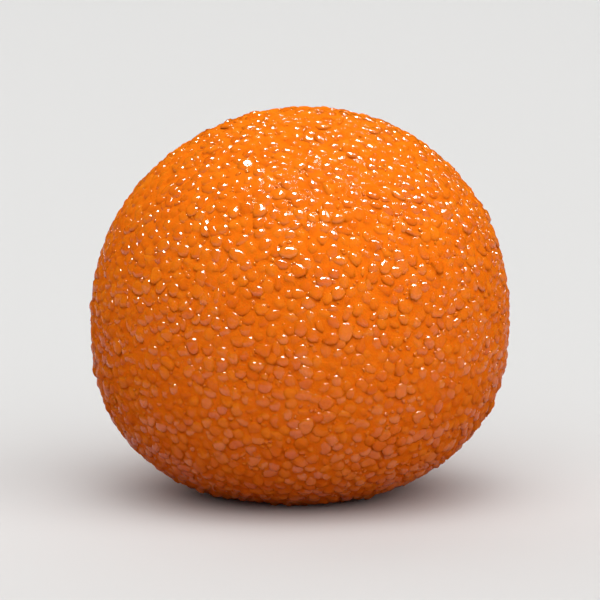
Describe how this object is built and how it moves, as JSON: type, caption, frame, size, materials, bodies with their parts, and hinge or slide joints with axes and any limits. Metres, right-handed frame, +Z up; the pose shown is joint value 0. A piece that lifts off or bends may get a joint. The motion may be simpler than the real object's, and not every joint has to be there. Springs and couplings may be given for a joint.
{
  "type": "motichoor ladoo",
  "caption": "Squat ball of fine syrup-glazed fried gram-flour pearls, pressed together by hand, that rests on its flattened underside and is eaten as a sweet.",
  "frame": {"origin": "middle of the flattened underside, under the middle of the ladoo's box", "axes": "+Z up; +X along the ladoo's longer way across; -Y is the front"},
  "size_m": [0.046, 0.0446, 0.0424],
  "materials": {
    "glazed_boondi": "satin, with a thin syrup glaze over fine round pearls"
  },
  "bodies": {
    "root": {"ladoo": "glazed_boondi"}
  },
  "joints": []
}
